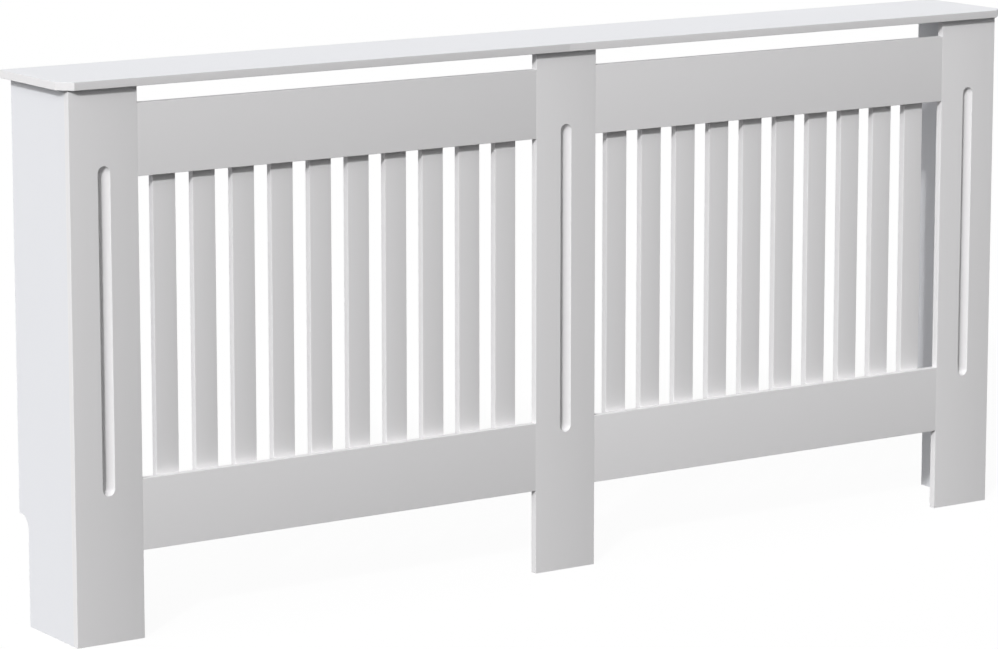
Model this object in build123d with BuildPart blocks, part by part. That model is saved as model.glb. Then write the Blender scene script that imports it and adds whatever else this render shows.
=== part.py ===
from build123d import *
import os

# Radiator cover cabinet: a long, shallow painted MDF screen that stands over a radiator, open at
# the back and underneath. Two slatted grilles hang between three fluted posts, side panels close
# the ends and a shelf in two halves lies on top. Steel plates, angle brackets, screws and wooden
# dowels hold it together from inside.
# Frame: origin on the floor at the middle of the cabinet's outline, +X to the viewer's right,
# +Y to the wall, +Z up. Millimetres.

# ---- Driving dimensions --------------------------------------------------------------------------
overall_width = 1720.0
overall_depth = 190.0
overall_height = 815.0

shelf_board = 12.0
shelf_front_overhang = 10.0
shelf_side_overhang = 15.0
shelf_corner_clip = 20.0

post_board = 12.0
post_width = 109.0

rail_board = 12.0
rail_height = 105.0
bottom_gap = 130.0
top_gap = 25.0

slat_board = 12.0
slat_width = 36.5
slats_per_bay = 10
slat_end_gap = 30.0
slat_end_inset = 20.0

flute_width = 20.0
flute_depth = 8.0
flute_end_margin = 86.0

side_board = 15.0
side_wall_gap = 5.0
skirting_notch_depth = 28.0
skirting_notch_height = 165.0
skirting_notch_radius = 20.0

edge_radius = 0.5

# Screws
fit_clearance = 0.05
tip_clearance = 0.5
screw_radius = 1.75
screw_tip_length = 2.5
screw_head_radius = 3.5
pan_head_height = 2.2
pan_head_rim = 0.9
cross_slot_width = 0.9
cross_slot_length = 4.0
cross_slot_depth = 1.1
fitting_screw_bite = 8.0
slat_screw_bite = 8.0

# Dowels
dowel_end_chamfer = 0.8
rail_dowel_radius = 3.0
rail_dowel_length = 30.0
rail_dowel_spacing = 60.0
board_dowel_radius = 4.0
board_dowel_length = 25.0
board_dowel_seat = 8.0
post_dowel_end_distances = (50.0, 250.0)
shelf_dowel_front_distance = 55.0
shelf_dowel_back_distance = 40.0

# Flat steel plates. Their screw holes are placed from the joint they bridge and from their ends.
steel_sheet = 2.0
screw_hole_radius = 2.0
plate_corner_radius = 3.0
plate_end_hole_distance = 7.0
rail_plate_width = 15.0
rail_plate_slat_clearance = 3.0
rail_plate_inner_hole = 9.0
seam_plate_length = 80.0
seam_plate_width = 20.0
seam_plate_inner_hole = 14.0
seam_plate_front_distance = 65.0
seam_plate_back_distance = 35.0

# Steel angle brackets. Their screw holes are placed from the bend's outside and from the legs' tips.
bend_radius = 1.0
bracket_tip_radius = 2.0
bracket_tip_hole_distance = 6.0
bracket_inner_hole = 10.0
corner_bracket_leg = 25.0
corner_bracket_width = 20.0
corner_bracket_end_distance = 95.0
shelf_bracket_leg = 20.0
shelf_bracket_width = 15.0
shelf_bracket_front_distance = 33.0
post_bracket_offset = 25.0
wall_bracket_leg = 30.0
wall_bracket_width = 20.0
wall_bracket_drop = 103.0
wall_bracket_inner_hole = 14.0
wall_screw_hole_radius = 2.5

# ---- Places worked out from them -----------------------------------------------------------------
wall_y = overall_depth / 2
shelf_front_y = -overall_depth / 2
front_y = shelf_front_y + shelf_front_overhang
grille_back_y = front_y + post_board
slat_back_y = grille_back_y + slat_board
side_back_y = wall_y - side_wall_gap

shelf_underside = overall_height - shelf_board
body_half_width = overall_width / 2 - shelf_side_overhang
side_inner_x = body_half_width - side_board
side_middle_x = body_half_width - side_board / 2
end_post_x = body_half_width - post_width / 2
bay_width = end_post_x - post_width
bay_center_x = end_post_x / 2

grille_bottom = bottom_gap
grille_top = shelf_underside - top_gap
bottom_rail_z = grille_bottom + rail_height / 2
top_rail_z = grille_top - rail_height / 2
slat_length = grille_top - grille_bottom - 2 * slat_end_inset
slat_middle_z = (grille_top + grille_bottom) / 2
slat_pitch = (bay_width - 2 * slat_end_gap - slat_width) / (slats_per_bay - 1)

sides = {"left": -1, "right": 1}
rail_levels = {"bottom": bottom_rail_z, "top": top_rail_z}
posts = {"left": -end_post_x, "middle": 0.0, "right": end_post_x}

BACK = (0, 1, 0)
FRONT = (0, -1, 0)
UP = (0, 0, 1)
DOWN = (0, 0, -1)

os.makedirs("parts", exist_ok=True)


def save(piece, name):
    """Label a finished piece and write its file."""
    piece.label = name
    export_step(piece, f"parts/{name}.step")


def facing(x, y, z, outward):
    """A place on a surface, with the way out of the surface as its normal."""
    return Plane(origin=(x, y, z), z_dir=outward)


def in_outline(places, middle_x, width, middle_z, height):
    """The places that lie within a board's outline, seen from the front."""
    return [
        place
        for place in places
        if abs(place.origin.X - middle_x) < width / 2 and abs(place.origin.Z - middle_z) < height / 2
    ]


def from_both_ends(distances, length):
    """Heights at the same distances from the bottom and the top of a length."""
    return list(distances) + [length - distance for distance in reversed(distances)]


# ---- Joints between the boards -------------------------------------------------------------------
# Each rail end: the X of the joint, the way from the rail into the post, and the rail's height.
rail_joints = [
    (sign * bay_center_x + way * bay_width / 2, way, height)
    for sign in sides.values()
    for way in (-1, 1)
    for height in rail_levels.values()
]
rail_dowel_y = grille_back_y - rail_board / 2
rail_dowel_offsets = (-rail_dowel_spacing / 2, rail_dowel_spacing / 2)
board_dowel_reach = board_dowel_length - board_dowel_seat
post_dowel_heights = from_both_ends(post_dowel_end_distances, shelf_underside)
shelf_dowel_ys = [
    grille_back_y + shelf_dowel_front_distance,
    side_back_y - shelf_dowel_back_distance,
]


def slat_places(sign):
    """The X of each slat's middle in one bay, from left to right."""
    first = sign * bay_center_x - (slats_per_bay - 1) * slat_pitch / 2
    return [first + index * slat_pitch for index in range(slats_per_bay)]


def bracket_frame(corner, along, away):
    """An angle bracket's frame: its first leg runs along one board, its second leg away from it."""
    return Plane(origin=corner, x_dir=along, z_dir=Vector(*along).cross(Vector(*away)))


def screws_in_line(frame, distances, way, outward):
    """Screw places in a line through a fitting's origin, where the screws enter the board."""
    return [Plane(origin=frame.origin + way * distance, z_dir=outward) for distance in distances]


def first_leg_screws(frame, distances):
    """Screw places under a bracket's first leg."""
    return screws_in_line(frame, distances, frame.x_dir, frame.y_dir)


def second_leg_screws(frame, distances):
    """Screw places under a bracket's second leg."""
    return screws_in_line(frame, distances, frame.y_dir, frame.x_dir)


def plate_screws(frames, distances):
    """Screw places under flat plates."""
    return [
        place
        for frame in frames
        for place in screws_in_line(frame, distances, frame.x_dir, frame.z_dir)
    ]


# Screw holes in the plates, from the joint they bridge, and in the brackets, from their bend.
rail_plate_reach = slat_end_gap - rail_plate_slat_clearance
rail_plate_holes = [
    way * distance
    for way in (-1, 1)
    for distance in (rail_plate_inner_hole, rail_plate_reach - plate_end_hole_distance)
]
seam_plate_holes = [
    way * distance
    for way in (-1, 1)
    for distance in (seam_plate_inner_hole, seam_plate_length / 2 - plate_end_hole_distance)
]
corner_bracket_holes = (bracket_inner_hole, corner_bracket_leg - bracket_tip_hole_distance)
shelf_bracket_holes = (shelf_bracket_leg - bracket_tip_hole_distance,)
wall_bracket_side_holes = (wall_bracket_inner_hole, wall_bracket_leg - bracket_tip_hole_distance)
wall_screw_hole_places = (wall_bracket_leg / 2,)

rail_plate_frames = [
    Plane(origin=(x, grille_back_y, height), x_dir=(1, 0, 0), z_dir=BACK) for x, way, height in rail_joints
]
seam_plate_frames = [
    Plane(origin=(0, y, shelf_underside), x_dir=(1, 0, 0), z_dir=DOWN)
    for y in (shelf_front_y + seam_plate_front_distance, wall_y - seam_plate_back_distance)
]
rail_plate_screw_places = plate_screws(rail_plate_frames, rail_plate_holes)
seam_plate_screw_places = plate_screws(seam_plate_frames, seam_plate_holes)

corner_bracket_heights = (
    corner_bracket_end_distance,
    shelf_underside / 2,
    shelf_underside - corner_bracket_end_distance,
)
corner_frames = {
    side: [
        bracket_frame((sign * side_inner_x, grille_back_y, height), (-sign, 0, 0), BACK)
        for height in corner_bracket_heights
    ]
    for side, sign in sides.items()
}
side_shelf_frames = {
    side: [
        bracket_frame((sign * side_inner_x, y, shelf_underside), (-sign, 0, 0), DOWN)
        for y in (grille_back_y + shelf_bracket_front_distance, sum(shelf_dowel_ys) / 2)
    ]
    for side, sign in sides.items()
}
post_shelf_frames = {
    side: [bracket_frame((sign * post_bracket_offset, grille_back_y, shelf_underside), BACK, DOWN)]
    for side, sign in sides.items()
}
wall_frames = {
    side: [
        bracket_frame(
            (sign * side_inner_x, wall_y, shelf_underside - wall_bracket_drop), (-sign, 0, 0), FRONT
        )
    ]
    for side, sign in sides.items()
}


def leg_screws(frames, first_distances, second_distances):
    """All the screw places of some brackets."""
    return [
        place
        for frame in frames
        for place in first_leg_screws(frame, first_distances) + second_leg_screws(frame, second_distances)
    ]


# ---- Screws and the holes they go in -------------------------------------------------------------
def cut_cross_slot(top):
    """The cross recess in the top of the screw being built."""
    with BuildSketch(Plane.XY.offset(top)) as cross:
        Rectangle(cross_slot_length, cross_slot_width)
        Rectangle(cross_slot_width, cross_slot_length)
    extrude(cross.sketch, amount=-cross_slot_depth, mode=Mode.SUBTRACT)


# Pan-head screw for the steel fittings. Its origin is where it enters the board, under the steel.
pan_head_top = steel_sheet + pan_head_height
with BuildPart() as fitting_screw:
    with BuildSketch(Plane.XZ):
        with BuildLine():
            Polyline(
                (0, -fitting_screw_bite),
                (screw_radius, screw_tip_length - fitting_screw_bite),
                (screw_radius, steel_sheet),
                (screw_head_radius, steel_sheet),
                (screw_head_radius, steel_sheet + pan_head_rim),
            )
            EllipticalCenterArc(
                (0, steel_sheet + pan_head_rim),
                screw_head_radius,
                pan_head_height - pan_head_rim,
                arc_size=90,
            )
            Line((0, pan_head_top), (0, -fitting_screw_bite))
        make_face()
    revolve(axis=Axis.Z)
    cut_cross_slot(pan_head_top)

# Countersunk screw that holds a slat to a rail. Its origin is on the slat's back face.
slat_screw_length = slat_board + slat_screw_bite
head_cone_height = screw_head_radius - screw_radius
with BuildPart() as slat_screw:
    with BuildSketch(Plane.XZ):
        with BuildLine():
            Polyline(
                (0, 0),
                (screw_head_radius, 0),
                (screw_radius, -head_cone_height),
                (screw_radius, screw_tip_length - slat_screw_length),
                (0, -slat_screw_length),
                close=True,
            )
        make_face()
    revolve(axis=Axis.Z)
    cut_cross_slot(0)


def drill_pilots(places):
    """Pilot holes for fitting screws, in the board being built."""
    with Locations(*places):
        Hole(screw_radius + fit_clearance, fitting_screw_bite + tip_clearance)


def drill_dowels(places, radius, depth):
    """Blind dowel holes, in the board being built."""
    with Locations(*places):
        Hole(radius + fit_clearance, depth + tip_clearance)


# ---- Shelf: two halves that meet over the middle post --------------------------------------------
for side, sign in sides.items():
    with BuildPart() as shelf:
        with BuildSketch(Plane.XY.offset(shelf_underside)) as outline:
            with Locations((sign * overall_width / 4, 0)):
                Rectangle(overall_width / 2, overall_depth)
            front_corner = (sign * overall_width / 2, shelf_front_y, shelf_underside)
            chamfer(outline.vertices().sort_by_distance(front_corner)[0], shelf_corner_clip)
        extrude(amount=shelf_board)
        fillet(shelf.edges().filter_by(lambda edge: abs(edge.center().X) > edge_radius), edge_radius)
        drill_dowels(
            [facing(sign * side_middle_x, y, shelf_underside, DOWN) for y in shelf_dowel_ys],
            board_dowel_radius,
            board_dowel_seat,
        )
        drill_pilots([place for place in seam_plate_screw_places if place.origin.X * sign > 0])
        for frame in side_shelf_frames[side] + post_shelf_frames[side]:
            drill_pilots(first_leg_screws(frame, shelf_bracket_holes))
    save(shelf.part, f"top_shelf_{side}")


# ---- Side panels, cut away at the back for the skirting board ------------------------------------
side_depth = side_back_y - grille_back_y
notch_front_y = side_back_y - skirting_notch_depth
for side, sign in sides.items():
    with BuildPart() as panel:
        with BuildSketch(Plane.YZ.offset(sign * side_middle_x)):
            with Locations((grille_back_y + side_depth / 2, shelf_underside / 2)):
                Rectangle(side_depth, shelf_underside)
            with Locations((side_back_y, 0)):
                RectangleRounded(
                    2 * skirting_notch_depth,
                    2 * skirting_notch_height,
                    skirting_notch_radius,
                    mode=Mode.SUBTRACT,
                )
        extrude(amount=side_board / 2, both=True)
        back_edges = panel.edges().filter_by_position(
            Axis.Y, notch_front_y - edge_radius, side_back_y + edge_radius
        )
        fillet(back_edges.filter_by(Axis.X, reverse=True), edge_radius)
        drill_dowels(
            [facing(sign * side_middle_x, grille_back_y, z, FRONT) for z in post_dowel_heights]
            + [facing(sign * side_middle_x, y, shelf_underside, UP) for y in shelf_dowel_ys],
            board_dowel_radius,
            board_dowel_reach,
        )
        for frame in corner_frames[side]:
            drill_pilots(second_leg_screws(frame, corner_bracket_holes))
        for frame in side_shelf_frames[side]:
            drill_pilots(second_leg_screws(frame, shelf_bracket_holes))
        for frame in wall_frames[side]:
            drill_pilots(second_leg_screws(frame, wall_bracket_side_holes))
    save(panel.part, f"side_panel_{side}")


# ---- Posts, each with a round-bottomed flute down its middle --------------------------------------
flute_cutter_radius = (flute_depth**2 + (flute_width / 2) ** 2) / (2 * flute_depth)
flute_axis_y = front_y - (flute_cutter_radius - flute_depth)
flute_low_z = grille_bottom + flute_end_margin + flute_width / 2
flute_high_z = grille_top - flute_end_margin - flute_width / 2


def cut_flute(middle_x):
    """A round-nosed cutter's path in the front of the post being built."""
    with BuildSketch(Plane((middle_x, flute_axis_y, 0), x_dir=(1, 0, 0), z_dir=FRONT)) as half_path:
        with BuildLine():
            CenterArc((0, flute_low_z), flute_cutter_radius, -90, 90)
            Line((flute_cutter_radius, flute_low_z), (flute_cutter_radius, flute_high_z))
            CenterArc((0, flute_high_z), flute_cutter_radius, 0, 90)
            Line((0, flute_high_z + flute_cutter_radius), (0, flute_low_z - flute_cutter_radius))
        make_face()
    revolve(half_path.sketch, axis=Axis((middle_x, flute_axis_y, 0), UP), mode=Mode.SUBTRACT)


def post_blank(middle_x):
    """The board of one post with its flute and eased edges, drilled for the rails that meet it."""
    with BuildPart() as blank:
        with BuildSketch(Plane.XZ.offset(-front_y)):
            with Locations((middle_x, shelf_underside / 2)):
                Rectangle(post_width, shelf_underside)
        extrude(amount=-post_board)
        cut_flute(middle_x)
        corner_edges = blank.edges().filter_by(Axis.Z).filter_by(
            lambda edge: abs(edge.center().X - middle_x) > post_width / 2 - edge_radius
        )
        # An end post's outer back edge meets a side panel, so it stays square.
        free_edges = corner_edges.filter_by(
            lambda edge: edge.center().Y < front_y + edge_radius
            or abs(edge.center().X) < body_half_width - edge_radius
        )
        fillet(free_edges, edge_radius)
        drill_dowels(
            [
                facing(x, rail_dowel_y, height + offset, (-way, 0, 0))
                for x, way, height in rail_joints
                if abs(x - middle_x) < post_width
                for offset in rail_dowel_offsets
            ],
            rail_dowel_radius,
            rail_dowel_length / 2,
        )
        drill_pilots(
            in_outline(rail_plate_screw_places, middle_x, post_width, shelf_underside / 2, shelf_underside)
        )
    return blank.part


with BuildPart() as middle_post:
    add(post_blank(posts["middle"]))
    for frame in post_shelf_frames["left"] + post_shelf_frames["right"]:
        drill_pilots(second_leg_screws(frame, shelf_bracket_holes))
save(middle_post.part, "post_middle")

for side, sign in sides.items():
    with BuildPart() as end_post:
        add(post_blank(posts[side]))
        drill_dowels(
            [facing(sign * side_middle_x, grille_back_y, z, BACK) for z in post_dowel_heights],
            board_dowel_radius,
            board_dowel_seat,
        )
        for frame in corner_frames[side]:
            drill_pilots(first_leg_screws(frame, corner_bracket_holes))
    save(end_post.part, f"post_{side}")


# ---- Rails: the top and bottom bar of each grille ------------------------------------------------
for side, sign in sides.items():
    for level, height in rail_levels.items():
        middle_x = sign * bay_center_x
        with BuildPart() as rail:
            with BuildSketch(Plane.XZ.offset(-grille_back_y)):
                with Locations((middle_x, height)):
                    Rectangle(bay_width, rail_height)
            extrude(amount=rail_board)
            fillet(rail.edges().filter_by(Axis.X), edge_radius)
            drill_dowels(
                [
                    facing(middle_x + way * bay_width / 2, rail_dowel_y, height + offset, (way, 0, 0))
                    for way in (-1, 1)
                    for offset in rail_dowel_offsets
                ],
                rail_dowel_radius,
                rail_dowel_length / 2,
            )
            drill_pilots(
                in_outline(rail_plate_screw_places, middle_x, bay_width, height, rail_height)
            )
            with Locations(*[facing(x, grille_back_y, height, BACK) for x in slat_places(sign)]):
                Hole(screw_radius + fit_clearance, slat_screw_bite + tip_clearance)
        save(rail.part, f"{level}_rail_{side}")


# ---- Slats: upright bars behind the rails --------------------------------------------------------
for side, sign in sides.items():
    for number, middle_x in enumerate(slat_places(sign), start=1):
        with BuildPart() as slat:
            with BuildSketch(Plane.XZ.offset(-grille_back_y)):
                with Locations((middle_x, slat_middle_z)):
                    Rectangle(slat_width, slat_length)
            extrude(amount=-slat_board)
            fillet(slat.edges().filter_by(Axis.Z), edge_radius)
            with Locations(*[facing(middle_x, slat_back_y, z, BACK) for z in rail_levels.values()]):
                CounterSinkHole(
                    screw_radius + fit_clearance,
                    screw_head_radius + fit_clearance,
                    slat_board,
                    counter_sink_angle=90,
                )
        save(slat.part, f"slat_{side}_{number}")


# ---- Fasteners and fittings: one node for each kind ----------------------------------------------
def save_copies(piece, places, name):
    """Write one node that holds the same piece at each of its places."""
    with BuildPart() as group:
        with Locations(*places):
            add(piece)
    save(group.part, name)


def save_dowels(radius, length, places, name):
    """Write one node of dowels, each with its middle at its place and its axis along the normal."""
    with BuildPart() as dowels:
        with Locations(*places):
            Cylinder(radius, length)
        chamfer(dowels.edges().filter_by(GeomType.CIRCLE), dowel_end_chamfer)
    save(dowels.part, name)


def flat_plate(length, width, holes):
    """A flat joining plate, its back on the local XY plane."""
    with BuildPart() as plate:
        with BuildSketch():
            RectangleRounded(length, width, plate_corner_radius)
            with Locations(*[(place, 0) for place in holes]):
                Circle(screw_hole_radius, mode=Mode.SUBTRACT)
        extrude(amount=steel_sheet)
    return plate.part


def angle_bracket(leg, width, first_holes, second_holes, first_hole_radius=screw_hole_radius):
    """A bent steel bracket: its first leg lies along local X, its second along local Y."""
    with BuildPart() as bracket:
        with BuildSketch() as profile:
            with BuildLine():
                Polyline(
                    (0, 0),
                    (leg, 0),
                    (leg, steel_sheet),
                    (steel_sheet, steel_sheet),
                    (steel_sheet, leg),
                    (0, leg),
                    close=True,
                )
            make_face()
            fillet(profile.vertices().sort_by_distance((0, 0))[0], bend_radius + steel_sheet)
            fillet(profile.vertices().sort_by_distance((steel_sheet, steel_sheet))[0], bend_radius)
        extrude(amount=width / 2, both=True)
        fillet(bracket.edges().filter_by(Axis.Y).sort_by(Axis.X)[-2:], bracket_tip_radius)
        fillet(bracket.edges().filter_by(Axis.X).sort_by(Axis.Y)[-2:], bracket_tip_radius)
        with Locations(*[facing(place, steel_sheet, 0, (0, 1, 0)) for place in first_holes]):
            Hole(first_hole_radius, steel_sheet)
        with Locations(*[facing(steel_sheet, place, 0, (1, 0, 0)) for place in second_holes]):
            Hole(screw_hole_radius, steel_sheet)
    return bracket.part


for side, sign in sides.items():
    slat_screw_places = [
        facing(x, slat_back_y, height, BACK) for x in slat_places(sign) for height in rail_levels.values()
    ]
    save_copies(slat_screw.part, slat_screw_places, f"slat_screws_{side}")

save_dowels(
    rail_dowel_radius,
    rail_dowel_length,
    [
        facing(x, rail_dowel_y, height + offset, (way, 0, 0))
        for x, way, height in rail_joints
        for offset in rail_dowel_offsets
    ],
    "rail_dowels",
)
board_dowel_shift = board_dowel_length / 2 - board_dowel_seat
save_dowels(
    board_dowel_radius,
    board_dowel_length,
    [
        facing(sign * side_middle_x, grille_back_y + board_dowel_shift, z, BACK)
        for sign in sides.values()
        for z in post_dowel_heights
    ],
    "post_dowels",
)
save_dowels(
    board_dowel_radius,
    board_dowel_length,
    [
        facing(sign * side_middle_x, y, shelf_underside - board_dowel_shift, UP)
        for sign in sides.values()
        for y in shelf_dowel_ys
    ],
    "shelf_dowels",
)

rail_plate = flat_plate(2 * rail_plate_reach, rail_plate_width, rail_plate_holes)
save_copies(rail_plate, rail_plate_frames, "rail_plates")
save_copies(fitting_screw.part, rail_plate_screw_places, "rail_plate_screws")

seam_plate = flat_plate(seam_plate_length, seam_plate_width, seam_plate_holes)
save_copies(seam_plate, seam_plate_frames, "seam_plates")
save_copies(fitting_screw.part, seam_plate_screw_places, "seam_plate_screws")

corner_bracket = angle_bracket(
    corner_bracket_leg, corner_bracket_width, corner_bracket_holes, corner_bracket_holes
)
all_corner_frames = corner_frames["left"] + corner_frames["right"]
corner_screw_places = leg_screws(all_corner_frames, corner_bracket_holes, corner_bracket_holes)
save_copies(corner_bracket, all_corner_frames, "corner_brackets")
save_copies(fitting_screw.part, corner_screw_places, "corner_bracket_screws")

shelf_bracket = angle_bracket(
    shelf_bracket_leg, shelf_bracket_width, shelf_bracket_holes, shelf_bracket_holes
)
all_shelf_frames = [
    frame for side in sides for frame in side_shelf_frames[side] + post_shelf_frames[side]
]
shelf_screw_places = leg_screws(all_shelf_frames, shelf_bracket_holes, shelf_bracket_holes)
save_copies(shelf_bracket, all_shelf_frames, "shelf_brackets")
save_copies(fitting_screw.part, shelf_screw_places, "shelf_bracket_screws")

# The wall's own screws are not part of the cabinet, so the legs on the wall have bare holes.
wall_bracket = angle_bracket(
    wall_bracket_leg,
    wall_bracket_width,
    wall_screw_hole_places,
    wall_bracket_side_holes,
    first_hole_radius=wall_screw_hole_radius,
)
all_wall_frames = wall_frames["left"] + wall_frames["right"]
wall_bracket_screw_places = leg_screws(all_wall_frames, (), wall_bracket_side_holes)
save_copies(wall_bracket, all_wall_frames, "wall_brackets")
save_copies(fitting_screw.part, wall_bracket_screw_places, "wall_bracket_screws")
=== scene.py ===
import math

import bmesh
import bpy
from bpy.props import FloatProperty, FloatVectorProperty, PointerProperty
from mathutils import Euler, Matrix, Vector


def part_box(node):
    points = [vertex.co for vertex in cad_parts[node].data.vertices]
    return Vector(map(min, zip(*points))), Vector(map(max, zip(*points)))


# Looks for the radiator cover cabinet: satin white paint on its MDF boards, zinc plating on the
# fittings inside, bare beech dowels, and a white photo studio lit from the left.
# Lengths here are metres unless a name ends in _mm. X runs along the cabinet, Y towards the wall
# and Z up.

bl_info = {
    "name": "Radiator Cover Cabinet",
    "version": (1, 0, 0),
    "blender": (4, 5, 0),
    "location": "View3D > Sidebar > Cabinet",
    "description": "Finishes a slatted radiator cover cabinet and sets up its studio",
    "category": "Object",
}

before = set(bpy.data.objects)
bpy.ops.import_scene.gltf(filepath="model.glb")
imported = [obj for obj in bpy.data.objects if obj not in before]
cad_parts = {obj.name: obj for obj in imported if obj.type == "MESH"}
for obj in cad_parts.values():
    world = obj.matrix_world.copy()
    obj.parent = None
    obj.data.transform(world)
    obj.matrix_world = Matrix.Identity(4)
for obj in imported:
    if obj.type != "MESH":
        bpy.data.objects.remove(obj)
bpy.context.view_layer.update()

MM = 0.001
WHITE = (1.0, 1.0, 1.0, 1.0)

# How deep below a board's faces its cut surfaces begin to look cut, and where they fully do.
CUT_BEGINS_MM, CUT_FULL_MM = 0.1, 0.5
# The paint's colour where its film is thinnest, as a share of the full colour.
THIN_FILM = 0.985
# The fibre pattern's scale in a board's plane, where its lines are long, beside 1 across it.
FIBRE_SCALE_IN_PLANE = 0.06
PAINT_RELIEF_MM, PAINT_RELIEF_STRENGTH = 0.1, 0.12
PAINT_IOR = 1.5

# The plating is smoothest between its clouds and dullest inside them. Its real grit is finer than
# shows, so it is drawn coarser.
ZINC_ROUGHNESS = (0.26, 0.42)
ZINC_GRIT_MM = 0.4
ZINC_RELIEF_MM, ZINC_RELIEF_STRENGTH = 0.05, 0.08

# The pattern's scale along the grain, where rings and flecks are long, beside 1 across it.
BEECH_SCALE_ALONG = 0.3
BEECH_FLECK_MM = 1.2
# How dark a ring is at a fleck's middle and away from it, and how much of its cell a fleck fills.
BEECH_FLECK_SHADE, BEECH_SHADE, BEECH_FLECK_REACH = 0.5, 0.1, 0.35
BEECH_RING_WANDER = 3.0
BEECH_RELIEF_MM, BEECH_RELIEF_STRENGTH = 0.05, 0.2
BEECH_ROUGHNESS = 0.62
# A wave texture has a full wave every pi / 10 at a scale of 1.
WAVE_AT_SCALE_1 = math.pi / 10

SENSOR_WIDTH_MM = 36.0
VIEW_DISTANCE = 200.0


# ---- Colours and nodes ---------------------------------------------------------------------------
def linear(hex_color):
    """A colour written as sRGB hex, such as "#e9e9eb", as linear red, green and blue."""
    channels = [int(hex_color[i : i + 2], 16) / 255 for i in (1, 3, 5)]
    return [c / 12.92 if c <= 0.04045 else ((c + 0.055) / 1.055) ** 2.4 for c in channels]


def add_node(tree, kind, inputs, **settings):
    """Add a node with its settings, each input being a number, a colour or a node's output."""
    node = tree.nodes.new(kind)
    for name, value in settings.items():
        setattr(node, name, value)
    for socket, value in inputs.items():
        if isinstance(value, bpy.types.NodeSocket):
            tree.links.new(value, node.inputs[socket])
        else:
            node.inputs[socket].default_value = value
    return node


def empty_material(name):
    """A material with no nodes yet."""
    material = bpy.data.materials.new(name)
    material.use_nodes = True
    material.node_tree.nodes.clear()
    return material


def per_mm(spacing_mm):
    """The texture scale at which a pattern repeats about every spacing_mm."""
    return 1 / (spacing_mm * MM)


def opaque(color):
    """A colour with full alpha, as colour sockets take it."""
    return (*color, 1.0)


# ---- Settings ------------------------------------------------------------------------------------
class CABINET_PG_paint(bpy.types.PropertyGroup):
    """The white paint on the boards."""

    carcass_color: FloatVectorProperty(
        name="Carcass colour",
        description="Colour of the paint on the shelf and the side panels, a slightly cool white",
        subtype="COLOR",
        min=0.0,
        max=1.0,
        default=linear("#e9eaee"),
    )
    front_color: FloatVectorProperty(
        name="Front colour",
        description="Colour of the paint on the posts, the rails and the slats",
        subtype="COLOR",
        min=0.0,
        max=1.0,
        default=linear("#f2f1f2"),
    )
    # Painted shade: the flutes and the cut edges are painted this darker white, which stands in for
    # shade there.
    painted_cut_shade: FloatVectorProperty(
        name="Cut colour",
        description="Colour that the paint dries to in the flutes and on the cut edges",
        subtype="COLOR",
        min=0.0,
        max=1.0,
        default=linear("#ecebec"),
    )
    crown_across: FloatProperty(
        name="Crown across",
        description="How far a board's front leans away at its left and right edges",
        subtype="ANGLE",
        min=0.0,
        default=math.radians(3.8),
    )
    crown_upright: FloatProperty(
        name="Crown upright",
        description="How far a board's front leans away at its top and bottom edges",
        subtype="ANGLE",
        min=0.0,
        default=math.radians(2.6),
    )
    face_roughness: FloatProperty(
        name="Face roughness",
        description="How matt the boards' smooth faces are",
        subtype="FACTOR",
        min=0.0,
        max=1.0,
        default=0.42,
    )
    edge_roughness: FloatProperty(
        name="Edge roughness",
        description="How matt the boards' cut edges are, where the core drinks the paint",
        subtype="FACTOR",
        min=0.0,
        max=1.0,
        default=0.56,
    )
    spray_texture_mm: FloatProperty(
        name="Spray texture",
        description="Spacing of the dimples that spraying leaves, in millimetres",
        min=0.5,
        default=2.5,
    )
    build_spacing_mm: FloatProperty(
        name="Film build",
        description="Spacing of the faint clouds where the paint is thicker, in millimetres",
        min=10.0,
        default=220.0,
    )
    fibre_mm: FloatProperty(
        name="Edge fibre",
        description="Spacing of the fibre lines that show through on cut edges, in millimetres",
        min=0.2,
        default=0.9,
    )


class CABINET_PG_fittings(bpy.types.PropertyGroup):
    """The steel fittings and the dowels."""

    zinc_color: FloatVectorProperty(
        name="Zinc",
        description="Colour of the bright zinc plating",
        subtype="COLOR",
        min=0.0,
        max=1.0,
        default=linear("#c9ced4"),
    )
    zinc_tint: FloatVectorProperty(
        name="Zinc tint",
        description="Colour of the passivated clouds on the plating",
        subtype="COLOR",
        min=0.0,
        max=1.0,
        default=linear("#b9c3cf"),
    )
    zinc_cloud_mm: FloatProperty(
        name="Zinc clouds",
        description="Spacing of the clouds on the plating, in millimetres",
        min=0.5,
        default=6.0,
    )
    beech_color: FloatVectorProperty(
        name="Beech",
        description="Colour of the beech",
        subtype="COLOR",
        min=0.0,
        max=1.0,
        default=linear("#d8b48a"),
    )
    beech_fleck_color: FloatVectorProperty(
        name="Beech flecks",
        description="Colour of the short rays in the beech",
        subtype="COLOR",
        min=0.0,
        max=1.0,
        default=linear("#a9794f"),
    )
    beech_ring_mm: FloatProperty(
        name="Beech rings",
        description="Spacing of the growth rings, in millimetres",
        min=0.5,
        default=2.2,
    )


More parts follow.
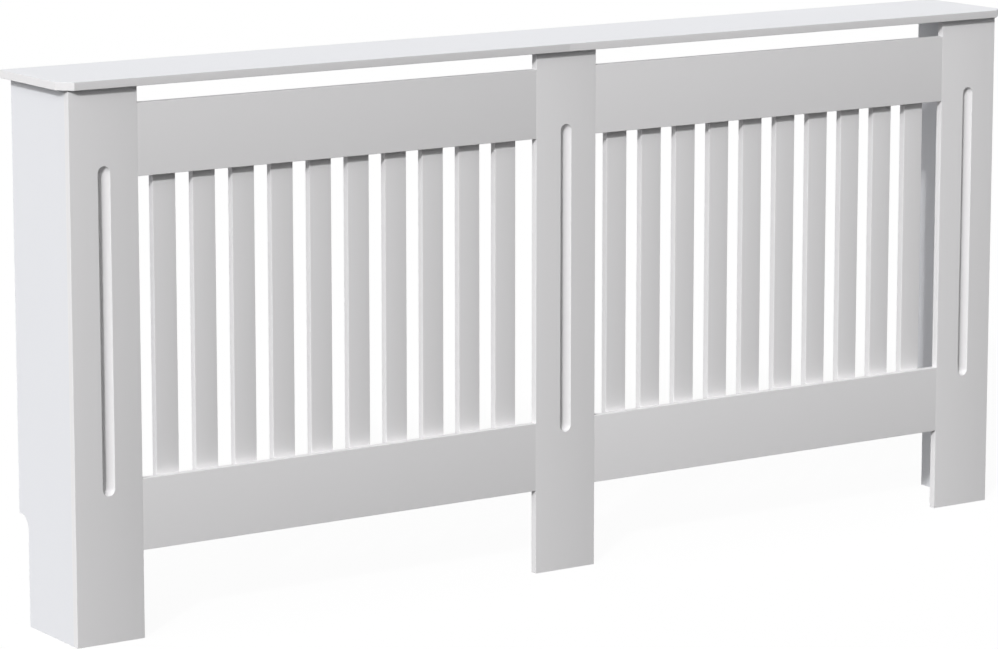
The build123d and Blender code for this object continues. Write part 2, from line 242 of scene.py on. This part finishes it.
class CABINET_PG_studio(bpy.types.PropertyGroup):
    """The camera, the floor and the lights."""

    camera_place: FloatVectorProperty(
        name="Camera place",
        description="Where the camera stands",
        subtype="TRANSLATION",
        unit="LENGTH",
        default=(-3.4653, -5.0942, 1.5245),
    )
    camera_yaw: FloatProperty(
        name="Yaw",
        description="How far the camera looks to the right of straight at the wall",
        subtype="ANGLE",
        default=math.radians(33.719),
    )
    camera_pitch: FloatProperty(
        name="Pitch",
        description="How far the camera looks down",
        subtype="ANGLE",
        default=math.radians(9.622),
    )
    focal_length_mm: FloatProperty(
        name="Focal length",
        description="The camera's focal length on a 36 mm wide sensor, in millimetres",
        min=10.0,
        default=146.47,
    )
    lens_shift: FloatProperty(
        name="Lens shift",
        description="How far the lens is shifted up, as a share of the picture's width",
        default=-0.0705,
    )
    floor_size: FloatProperty(
        name="Floor",
        description="Length and width of the floor",
        subtype="DISTANCE",
        unit="LENGTH",
        min=1.0,
        default=60.0,
    )
    floor_color: FloatVectorProperty(
        name="Floor colour",
        description="Colour of the floor to the camera, before it is lifted to white",
        subtype="COLOR",
        min=0.0,
        max=1.0,
        default=linear("#e6e6e6"),
    )
    floor_bounce: FloatProperty(
        name="Floor bounce",
        description="Share of its light that the floor throws back up at the cabinet",
        subtype="FACTOR",
        min=0.0,
        max=1.0,
        default=0.04,
    )
    floor_shadow: FloatProperty(
        name="Floor shadow",
        description="How much of the shadow shows on the white floor",
        subtype="FACTOR",
        min=0.0,
        max=0.9,
        default=0.08,
    )
    key_strength: FloatProperty(
        name="Key light",
        description="Strength of the light from the front left, 1 showing colours as they are",
        min=0.0,
        default=0.6,
    )
    halo_strength: FloatProperty(
        name="Halo light",
        description="Strength of the softer light round the key light, in the same measure",
        min=0.0,
        default=0.31,
    )
    left_strength: FloatProperty(
        name="Left light",
        description="Strength of the broad light from the left, in the same measure",
        min=0.0,
        default=0.25,
    )
    right_strength: FloatProperty(
        name="Right light",
        description="Strength of the broad light from the right, in the same measure",
        min=0.0,
        default=0.35,
    )
    back_strength: FloatProperty(
        name="Back light",
        description="Strength of the broad light from behind, in the same measure",
        min=0.0,
        default=0.31,
    )
    fill_strength: FloatProperty(
        name="Fill",
        description="Strength of the light from all round, in the same measure",
        min=0.0,
        default=0.1,
    )


# ---- Materials -----------------------------------------------------------------------------------
def crowned_normal(tree, coordinates, node, paint):
    """The direction that a board's front faces once its edges are sanded back a little.

    Sanding and spraying leave a board's front very slightly crowned, so that it takes the light
    a little differently from one edge to the other, and boards that meet can be told apart.
    """
    lowest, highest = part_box(node)
    middle = (Vector(lowest) + Vector(highest)) / 2
    half = (Vector(highest) - Vector(lowest)) / 2
    slope = Vector((paint.crown_across / half.x, 0, paint.crown_upright / half.z))
    lean = add_node(
        tree,
        "ShaderNodeMapping",
        {
            "Vector": coordinates.outputs["Object"],
            "Location": [-m * s for m, s in zip(middle, slope)],
            "Scale": slope,
        },
    )
    facing = add_node(tree, "ShaderNodeSeparateXYZ", {0: coordinates.outputs["Normal"]})
    on_front = add_node(tree, "ShaderNodeMath", {0: facing.outputs["Y"]}, operation="ABSOLUTE")
    front_lean = add_node(
        tree,
        "ShaderNodeVectorMath",
        {0: lean.outputs[0], "Scale": on_front.outputs[0]},
        operation="SCALE",
    )
    leaning = add_node(
        tree,
        "ShaderNodeVectorMath",
        {0: coordinates.outputs["Normal"], 1: front_lean.outputs[0]},
        operation="ADD",
    )
    return add_node(
        tree,
        "ShaderNodeVectorTransform",
        {"Vector": leaning.outputs[0]},
        vector_type="NORMAL",
        convert_from="OBJECT",
        convert_to="WORLD",
    ).outputs[0]


def near_face(tree, place, node, face_axis):
    """1 on a board's two faces, 0 wherever it is cut: on its edges, in a flute and in holes."""
    lowest, highest = (corner["XYZ".index(face_axis)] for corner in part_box(node))
    axes = add_node(tree, "ShaderNodeSeparateXYZ", {0: place})
    offset = add_node(
        tree,
        "ShaderNodeMath",
        {0: axes.outputs[face_axis], 1: (lowest + highest) / 2},
        operation="SUBTRACT",
    )
    distance = add_node(tree, "ShaderNodeMath", {0: offset.outputs[0]}, operation="ABSOLUTE")
    half = (highest - lowest) / 2
    return add_node(
        tree,
        "ShaderNodeMapRange",
        {
            "Value": distance.outputs[0],
            "From Min": half - CUT_FULL_MM * MM,
            "From Max": half - CUT_BEGINS_MM * MM,
        },
        interpolation_type="SMOOTHSTEP",
    ).outputs[0]


def painted_mdf(node, face_axis, paint_color, paint):
    """Satin acrylic lacquer sprayed on MDF, for one board.

    The faces are smooth, with the low dimples of a sprayed coat, and catch a broad soft sheen.
    Where the board is cut its core drinks the paint, so it is more matt there, and its fibres
    show through as fine lines along the board. In the flutes and on the cut edges its colour is
    painted a shade darker, as painted shade. face_axis is the axis across the board's thickness.
    """
    material = empty_material("painted_mdf_" + node)
    tree = material.node_tree
    coordinates = add_node(tree, "ShaderNodeTexCoord", {})
    place = coordinates.outputs["Object"]
    on_face = near_face(tree, place, node, face_axis)

    build = add_node(
        tree,
        "ShaderNodeTexNoise",
        {"Vector": place, "Scale": per_mm(paint.build_spacing_mm), "Detail": 2.0},
    ).outputs["Fac"]
    face_color = add_node(
        tree,
        "ShaderNodeMix",
        {
            "Factor": build,
            "A": opaque([c * THIN_FILM for c in paint_color]),
            "B": opaque(paint_color),
        },
        data_type="RGBA",
    )
    # Painted shade: away from the faces, in the flutes and on the cut edges, the colour turns to
    # the darker cut shade.
    color = add_node(
        tree,
        "ShaderNodeMix",
        {
            "Factor": on_face,
            "A": opaque(paint.painted_cut_shade),
            "B": face_color.outputs["Result"],
        },
        data_type="RGBA",
    )

    dimples = add_node(
        tree,
        "ShaderNodeTexNoise",
        {"Vector": place, "Scale": per_mm(paint.spray_texture_mm), "Detail": 1.0},
    ).outputs["Fac"]
    # The fibre lines are close together across the board and long in its plane. Real ones are
    # about 0.3 mm apart, too fine to show, so they are drawn as coarse as a close view needs.
    line_scale = [FIBRE_SCALE_IN_PLANE] * 3
    line_scale["XYZ".index(face_axis)] = 1.0
    along_board = add_node(tree, "ShaderNodeMapping", {"Vector": place, "Scale": line_scale})
    fibres = add_node(
        tree,
        "ShaderNodeTexNoise",
        {"Vector": along_board.outputs[0], "Scale": per_mm(paint.fibre_mm), "Detail": 2.0},
    ).outputs["Fac"]
    relief = add_node(
        tree, "ShaderNodeMix", {"Factor": on_face, "A": fibres, "B": dimples}, data_type="FLOAT"
    )
    bump = add_node(
        tree,
        "ShaderNodeBump",
        {
            "Height": relief.outputs[0],
            "Strength": PAINT_RELIEF_STRENGTH,
            "Distance": PAINT_RELIEF_MM * MM,
            "Normal": crowned_normal(tree, coordinates, node, paint),
        },
    )

    roughness = add_node(
        tree,
        "ShaderNodeMapRange",
        {
            "Value": on_face,
            "To Min": paint.edge_roughness,
            "To Max": paint.face_roughness,
        },
    )
    shader = add_node(
        tree,
        "ShaderNodeBsdfPrincipled",
        {
            "Base Color": color.outputs["Result"],
            "Roughness": roughness.outputs[0],
            "Normal": bump.outputs[0],
            "IOR": PAINT_IOR,
        },
    )
    add_node(tree, "ShaderNodeOutputMaterial", {"Surface": shader.outputs[0]})
    return material


def zinc_plated_steel(fittings):
    """Pressed steel, zinc plated and blue passivated: a soft metal shine with faint clouds."""
    material = empty_material("zinc_plated_steel")
    tree = material.node_tree
    place = add_node(tree, "ShaderNodeTexCoord", {}).outputs["Object"]
    clouds = add_node(
        tree,
        "ShaderNodeTexNoise",
        {"Vector": place, "Scale": per_mm(fittings.zinc_cloud_mm), "Detail": 3.0},
    ).outputs["Fac"]
    color = add_node(
        tree,
        "ShaderNodeMix",
        {
            "Factor": clouds,
            "A": opaque(fittings.zinc_color),
            "B": opaque(fittings.zinc_tint),
        },
        data_type="RGBA",
    )
    smoothest, dullest = ZINC_ROUGHNESS
    roughness = add_node(
        tree, "ShaderNodeMapRange", {"Value": clouds, "To Min": smoothest, "To Max": dullest}
    )
    grit = add_node(tree, "ShaderNodeTexNoise", {"Vector": place, "Scale": per_mm(ZINC_GRIT_MM)})
    bump = add_node(
        tree,
        "ShaderNodeBump",
        {
            "Height": grit.outputs["Fac"],
            "Strength": ZINC_RELIEF_STRENGTH,
            "Distance": ZINC_RELIEF_MM * MM,
        },
    )
    shader = add_node(
        tree,
        "ShaderNodeBsdfPrincipled",
        {
            "Base Color": color.outputs["Result"],
            "Roughness": roughness.outputs[0],
            "Normal": bump.outputs[0],
            "Metallic": 1.0,
        },
    )
    add_node(tree, "ShaderNodeOutputMaterial", {"Surface": shader.outputs[0]})
    return material


def bare_beech(name, grain_axis, fittings):
    """Turned beech, unfinished: a pale pinkish wood with growth rings and short darker rays.

    Rings and rays are drawn out along the grain, which runs the length of the named dowels.
    """
    material = empty_material("bare_beech_" + name)
    tree = material.node_tree
    place = add_node(tree, "ShaderNodeTexCoord", {}).outputs["Object"]
    grain_scale = [1.0, 1.0, 1.0]
    grain_scale["XYZ".index(grain_axis)] = BEECH_SCALE_ALONG
    grain = add_node(tree, "ShaderNodeMapping", {"Vector": place, "Scale": grain_scale})
    rings = add_node(
        tree,
        "ShaderNodeTexWave",
        {
            "Vector": grain.outputs[0],
            "Scale": per_mm(fittings.beech_ring_mm) * WAVE_AT_SCALE_1,
            "Distortion": BEECH_RING_WANDER,
            "Detail": 2.0,
        },
        bands_direction="Y" if grain_axis == "X" else "X",
    ).outputs["Fac"]
    flecks = add_node(
        tree,
        "ShaderNodeTexVoronoi",
        {"Vector": grain.outputs[0], "Scale": per_mm(BEECH_FLECK_MM)},
    ).outputs["Distance"]
    dark = add_node(
        tree,
        "ShaderNodeMapRange",
        {
            "Value": flecks,
            "From Max": BEECH_FLECK_REACH,
            "To Min": BEECH_FLECK_SHADE,
            "To Max": BEECH_SHADE,
        },
    )
    shade = add_node(
        tree, "ShaderNodeMath", {0: rings, 1: dark.outputs[0]}, operation="MULTIPLY"
    )
    color = add_node(
        tree,
        "ShaderNodeMix",
        {
            "Factor": shade.outputs[0],
            "A": opaque(fittings.beech_color),
            "B": opaque(fittings.beech_fleck_color),
        },
        data_type="RGBA",
    )
    bump = add_node(
        tree,
        "ShaderNodeBump",
        {
            "Height": rings,
            "Strength": BEECH_RELIEF_STRENGTH,
            "Distance": BEECH_RELIEF_MM * MM,
        },
    )
    shader = add_node(
        tree,
        "ShaderNodeBsdfPrincipled",
        {
            "Base Color": color.outputs["Result"],
            "Roughness": BEECH_ROUGHNESS,
            "Normal": bump.outputs[0],
        },
    )
    add_node(tree, "ShaderNodeOutputMaterial", {"Surface": shader.outputs[0]})
    return material


def finish_nodes(names, material):
    """Give the named parts of the cabinet their finish."""
    for name in names:
        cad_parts[name].material_slots[0].material = material


def paint_boards(names, face_axis, paint_color, paint):
    """Paint each of the named boards."""
    for name in names:
        finish_nodes([name], painted_mdf(name, face_axis, paint_color, paint))


def nodes_starting(*beginnings):
    """The cabinet's parts whose names start with one of the given words."""
    return [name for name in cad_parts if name.startswith(beginnings)]


# ---- Operators -----------------------------------------------------------------------------------
class CABINET_OT_shelf(bpy.types.Operator):
    """Paint the two halves of the shelf"""

    bl_idname = "cabinet.shelf"
    bl_label = "Shelf"

    def execute(self, context):
        paint = context.scene.cabinet_paint
        paint_boards(nodes_starting("top_shelf"), "Z", paint.carcass_color, paint)
        return {"FINISHED"}


class CABINET_OT_side_panels(bpy.types.Operator):
    """Paint the side panels"""

    bl_idname = "cabinet.side_panels"
    bl_label = "Side panels"

    def execute(self, context):
        paint = context.scene.cabinet_paint
        paint_boards(nodes_starting("side_panel"), "X", paint.carcass_color, paint)
        return {"FINISHED"}


class CABINET_OT_grilles(bpy.types.Operator):
    """Paint the posts, the rails and the slats"""

    bl_idname = "cabinet.grilles"
    bl_label = "Posts, rails and slats"

    def execute(self, context):
        paint = context.scene.cabinet_paint
        boards = nodes_starting("post_left", "post_middle", "post_right")
        boards += nodes_starting("top_rail", "bottom_rail", "slat_left", "slat_right")
        paint_boards(boards, "Y", paint.front_color, paint)
        return {"FINISHED"}


class CABINET_OT_hardware(bpy.types.Operator):
    """Plate the screws, plates and brackets with zinc"""

    bl_idname = "cabinet.hardware"
    bl_label = "Screws, plates and brackets"

    def execute(self, context):
        steel = [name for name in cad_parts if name.endswith(("_plates", "_brackets"))]
        steel += [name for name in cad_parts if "_screws" in name]
        finish_nodes(steel, zinc_plated_steel(context.scene.cabinet_fittings))
        return {"FINISHED"}


# Each node of dowels, and the axis along which its dowels lie.
DOWELS = {"rail_dowels": "X", "post_dowels": "Y", "shelf_dowels": "Z"}


class CABINET_OT_dowels(bpy.types.Operator):
    """Make the dowels beech"""

    bl_idname = "cabinet.dowels"
    bl_label = "Dowels"

    def execute(self, context):
        fittings = context.scene.cabinet_fittings
        for name, grain_axis in DOWELS.items():
            finish_nodes([name], bare_beech(name, grain_axis, fittings))
        return {"FINISHED"}


# Each lamp's name, how far it stands to the left of straight in front of the cabinet and above the
# floor, and how broad it looks, in degrees.
LAMPS = (
    ("key", 51, 30, 4),
    ("halo", 50, 31, 45),
    ("left", 90, 30, 50),
    ("right", -95, 20, 50),
    ("back", 170, 17, 50),
)


def studio_lamps(studio):
    """Lights so far away that each lights the whole cabinet alike: a key light with a softer halo
    round it, which draw the shadows under the shelf and the rails, and broad ones from the left,
    from the right and from behind."""
    for name, left, up, breadth in LAMPS:
        light = bpy.data.lights.new(name + "_light", "SUN")
        # Under a sun of strength pi, a matt surface square to it renders in its own colour.
        light.energy = getattr(studio, name + "_strength") * math.pi
        light.angle = math.radians(breadth)
        lamp = bpy.data.objects.new(name + "_light", light)
        lamp.rotation_euler = Euler((math.radians(90 - up), 0, math.radians(-left)))
        # A sheen already shows the studio as white all round, so the lamps add nothing to it.
        lamp.visible_glossy = False
        bpy.context.scene.collection.objects.link(lamp)


def open_floor_light(studio):
    """How light the open floor would be if it were white and not lifted."""
    return studio.fill_strength + sum(
        getattr(studio, name + "_strength") * math.sin(math.radians(up))
        for name, _, up, _ in LAMPS
    )


def seen_directly(tree):
    """1 for what the camera sees straight, mirrored or through glass, and 0 for other light."""
    ray = add_node(tree, "ShaderNodeLightPath", {})
    seen = ray.outputs["Is Camera Ray"]
    for kind in ("Is Glossy Ray", "Is Transmission Ray"):
        seen = add_node(
            tree, "ShaderNodeMath", {0: seen, 1: ray.outputs[kind]}, operation="MAXIMUM"
        ).outputs[0]
    return seen


def studio_floor(studio):
    """A plain pale floor, white where it lies open, which keeps the cabinet's faint shadow."""
    mesh = bpy.data.meshes.new("floor")
    sheet = bmesh.new()
    bmesh.ops.create_grid(sheet, x_segments=1, y_segments=1, size=studio.floor_size / 2)
    sheet.to_mesh(mesh)
    sheet.free()
    floor = bpy.data.objects.new("floor", mesh)
    bpy.context.scene.collection.objects.link(floor)

    material = empty_material("studio_floor")
    tree = material.node_tree
    pale = add_node(tree, "ShaderNodeBsdfDiffuse", {"Color": opaque(studio.floor_color)})
    own_light = studio.floor_shadow * studio.floor_color[0] * open_floor_light(studio)
    glow = add_node(
        tree,
        "ShaderNodeEmission",
        {"Color": WHITE, "Strength": (1 - own_light) / (1 - studio.floor_shadow)},
    )
    lifted = add_node(
        tree,
        "ShaderNodeMixShader",
        {0: studio.floor_shadow, 1: glow.outputs[0], 2: pale.outputs[0]},
    )
    bounce = add_node(
        tree, "ShaderNodeBsdfDiffuse", {"Color": opaque([studio.floor_bounce] * 3)}
    )
    shader = add_node(
        tree,
        "ShaderNodeMixShader",
        {0: seen_directly(tree), 1: bounce.outputs[0], 2: lifted.outputs[0]},
    )
    add_node(tree, "ShaderNodeOutputMaterial", {"Surface": shader.outputs[0]})
    mesh.materials.append(material)


def studio_world(studio):
    """Even light from all round. Seen straight or mirrored, the surroundings are white."""
    world = bpy.data.worlds.new("studio")
    bpy.context.scene.world = world
    world.use_nodes = True
    tree = world.node_tree
    tree.nodes.clear()
    white = add_node(tree, "ShaderNodeBackground", {"Color": WHITE, "Strength": 1.0})
    fill = add_node(
        tree, "ShaderNodeBackground", {"Color": WHITE, "Strength": studio.fill_strength}
    )
    both = add_node(
        tree,
        "ShaderNodeMixShader",
        {0: seen_directly(tree), 1: fill.outputs[0], 2: white.outputs[0]},
    )
    add_node(tree, "ShaderNodeOutputWorld", {"Surface": both.outputs[0]})


def studio_camera(studio):
    """A long lens that stands to the left of the cabinet and looks a little down on it."""
    lens = bpy.data.cameras.new("camera")
    lens.sensor_width = SENSOR_WIDTH_MM
    lens.lens = studio.focal_length_mm
    lens.shift_y = studio.lens_shift
    lens.clip_end = VIEW_DISTANCE
    camera = bpy.data.objects.new("camera", lens)
    camera.location = studio.camera_place
    camera.rotation_euler = Euler((math.pi / 2 - studio.camera_pitch, 0, -studio.camera_yaw))
    bpy.context.scene.collection.objects.link(camera)
    bpy.context.scene.camera = camera


class CABINET_OT_studio(bpy.types.Operator):
    """Set up the floor, the lights and the camera"""

    bl_idname = "cabinet.studio"
    bl_label = "Studio"

    def execute(self, context):
        studio = context.scene.cabinet_studio
        studio_floor(studio)
        studio_world(studio)
        studio_lamps(studio)
        studio_camera(studio)
        context.scene.view_settings.view_transform = "Standard"
        return {"FINISHED"}


class CABINET_PT_sidebar(bpy.types.Panel):
    """The cabinet's settings and steps"""

    bl_idname = "CABINET_PT_sidebar"
    bl_label = "Radiator Cover Cabinet"
    bl_space_type = "VIEW_3D"
    bl_region_type = "UI"
    bl_category = "Cabinet"

    def draw(self, context):
        for group in (
            context.scene.cabinet_paint,
            context.scene.cabinet_fittings,
            context.scene.cabinet_studio,
        ):
            box = self.layout.box()
            for name in group.bl_rna.properties.keys():
                if name not in ("rna_type", "name"):
                    box.prop(group, name)
        for step in STEPS:
            self.layout.operator(step.bl_idname)


STEPS = (
    CABINET_OT_studio,
    CABINET_OT_shelf,
    CABINET_OT_side_panels,
    CABINET_OT_grilles,
    CABINET_OT_hardware,
    CABINET_OT_dowels,
)
CLASSES = (CABINET_PG_paint, CABINET_PG_fittings, CABINET_PG_studio, *STEPS, CABINET_PT_sidebar)


def register():
    """Add the settings, the steps and the panel to Blender."""
    for each in CLASSES:
        bpy.utils.register_class(each)
    bpy.types.Scene.cabinet_paint = PointerProperty(type=CABINET_PG_paint)
    bpy.types.Scene.cabinet_fittings = PointerProperty(type=CABINET_PG_fittings)
    bpy.types.Scene.cabinet_studio = PointerProperty(type=CABINET_PG_studio)


def unregister():
    """Take them out again."""
    del bpy.types.Scene.cabinet_studio
    del bpy.types.Scene.cabinet_fittings
    del bpy.types.Scene.cabinet_paint
    for each in reversed(CLASSES):
        bpy.utils.unregister_class(each)


def main():
    """Dress the cabinet."""
    register()
    bpy.ops.cabinet.studio()
    bpy.ops.cabinet.shelf()
    bpy.ops.cabinet.side_panels()
    bpy.ops.cabinet.grilles()
    bpy.ops.cabinet.hardware()
    bpy.ops.cabinet.dowels()


if __name__ == "__main__":
    main()
